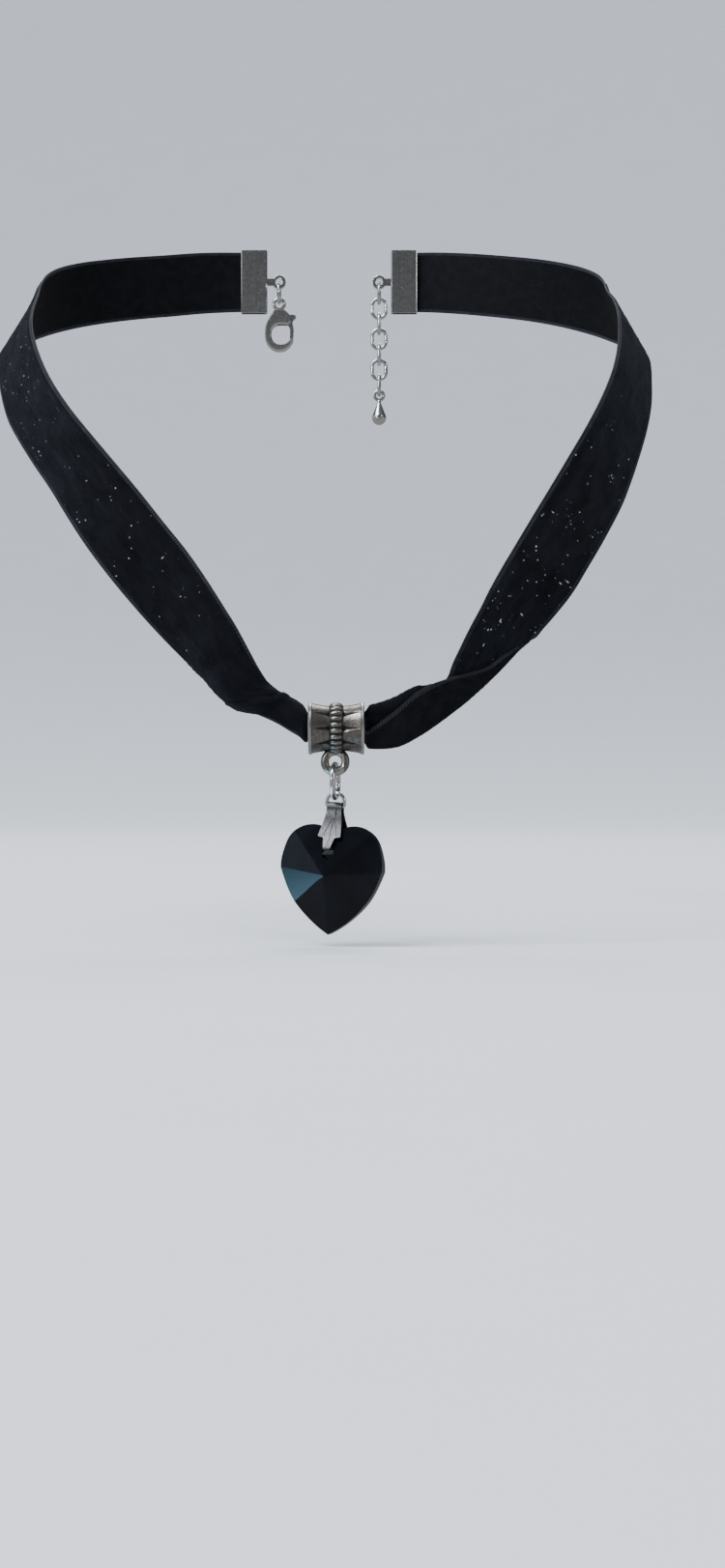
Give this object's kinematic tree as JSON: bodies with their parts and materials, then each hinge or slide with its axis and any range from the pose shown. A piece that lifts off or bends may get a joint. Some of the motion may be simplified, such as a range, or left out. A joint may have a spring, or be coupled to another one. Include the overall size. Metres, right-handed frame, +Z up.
{
  "type": "pendant necklace",
  "caption": "Ribbon choker with a tubular slide bail, wire rings and a stamped pinch bail carrying a faceted heart drop; lobster clasp and extender chain at the back.",
  "frame": {"origin": "middle of the bail tube that the ribbon passes through", "axes": "+Z up, -Y towards the viewer in front of the wearer, +X along the bail tube towards the viewer's right"},
  "size_m": [0.1262, 0.1248, 0.1414],
  "materials": {
    "velvet": "black velvet pile with matte ribbed selvedges",
    "antique_silver": "antiqued silver, dark patina in the recesses",
    "bright_silver": "bright plated wire",
    "stamped_silver": "satin grey plated sheet",
    "plated_silver": "plated castings and stampings",
    "spring_steel": "blued spring strip",
    "jet_glass": "polished opaque jet glass"
  },
  "bodies": {
    "ribbon": {"velvet_ribbon": "velvet", "left_ribbon_crimp": "plated_silver", "right_ribbon_crimp": "plated_silver"},
    "bail": {"bail": "antique_silver"},
    "jump_ring": {"jump_ring": "bright_silver"},
    "pinch_bail_ring": {"pinch_bail_ring": "bright_silver"},
    "pinch_bail": {"pinch_bail": "stamped_silver"},
    "heart": {"heart_drop": "jet_glass"},
    "clasp_ring": {"clasp_jump_ring": "bright_silver"},
    "lobster": {"lobster_body": "plated_silver", "lobster_rivet": "plated_silver", "lobster_spring": "spring_steel"},
    "trigger": {"lobster_trigger": "plated_silver"},
    "extender_ring": {"extender_jump_ring": "bright_silver"},
    "link_1": {"extender_link_1": "bright_silver"},
    "link_2": {"extender_link_2": "bright_silver"},
    "link_3": {"extender_link_3": "bright_silver"},
    "link_4": {"extender_link_4": "bright_silver"},
    "link_5": {"extender_link_5": "bright_silver"},
    "link_6": {"extender_link_6": "bright_silver"},
    "end_drop": {"extender_drop": "plated_silver"}
  },
  "joints": [
    {"name": "bail_turn", "type": "hinge", "parent": "ribbon", "child": "bail", "pos_m": [0, 0, 0], "axis": [1, 0, 0], "range_deg": [-90, 90]},
    {"name": "jump_ring_swing", "type": "hinge", "parent": "bail", "child": "jump_ring", "pos_m": [-0.0002, 0, -0.00719], "axis": [-1, 0, 0], "range_deg": [-70, 70]},
    {"name": "pinch_ring_swing", "type": "hinge", "parent": "jump_ring", "child": "pinch_bail_ring", "pos_m": [-0.0002, 0, -0.01143], "axis": [0.1564, 0.9877, 0], "range_deg": [-60, 60]},
    {"name": "pinch_bail_swing", "type": "hinge", "parent": "pinch_bail_ring", "child": "pinch_bail", "pos_m": [-0.00015, 0, -0.0129], "axis": [-0.9415, 0.3334, 0.0488], "range_deg": [-60, 60]},
    {"name": "heart_swing", "type": "hinge", "parent": "pinch_bail", "child": "heart", "pos_m": [-0.0005, 0.00012, -0.02049], "axis": [-0.3338, -0.9426, 0], "range_deg": [-25, 25]},
    {"name": "clasp_ring_swing", "type": "hinge", "parent": "ribbon", "child": "clasp_ring", "pos_m": [-0.01393, 0.118, 0.09945], "axis": [1, 0, 0], "range_deg": [-60, 60]},
    {"name": "lobster_swing", "type": "hinge", "parent": "clasp_ring", "child": "lobster", "pos_m": [-0.01393, 0.118, 0.09613], "axis": [0, 1, 0], "range_deg": [-50, 12]},
    {"name": "trigger_open", "type": "hinge", "parent": "lobster", "child": "trigger", "pos_m": [-0.01273, 0.118, 0.09233], "axis": [0, 1, 0], "range_deg": [0, 22]},
    {"name": "extender_ring_swing", "type": "hinge", "parent": "ribbon", "child": "extender_ring", "pos_m": [0.00793, 0.118, 0.09945], "axis": [1, 0, 0], "range_deg": [-60, 60]},
    {"name": "link_1_swing", "type": "hinge", "parent": "extender_ring", "child": "link_1", "pos_m": [0.00793, 0.118, 0.09613], "axis": [0, 1, 0], "range_deg": [-12, 50]},
    {"name": "link_2_swing", "type": "hinge", "parent": "link_1", "child": "link_2", "pos_m": [0.00793, 0.118, 0.09278], "axis": [-1, 0, 0], "range_deg": [-50, 50]},
    {"name": "link_3_swing", "type": "hinge", "parent": "link_2", "child": "link_3", "pos_m": [0.00793, 0.118, 0.08943], "axis": [0, -1, 0], "range_deg": [-50, 50]},
    {"name": "link_4_swing", "type": "hinge", "parent": "link_3", "child": "link_4", "pos_m": [0.00793, 0.118, 0.08608], "axis": [1, 0, 0], "range_deg": [-50, 50]},
    {"name": "link_5_swing", "type": "hinge", "parent": "link_4", "child": "link_5", "pos_m": [0.00793, 0.118, 0.08273], "axis": [0, 1, 0], "range_deg": [-50, 50]},
    {"name": "link_6_swing", "type": "hinge", "parent": "link_5", "child": "link_6", "pos_m": [0.00793, 0.118, 0.07938], "axis": [-1, 0, 0], "range_deg": [-50, 50]},
    {"name": "end_drop_swing", "type": "hinge", "parent": "link_6", "child": "end_drop", "pos_m": [0.00793, 0.118, 0.07603], "axis": [0, -1, 0], "range_deg": [-50, 50]}
  ]
}
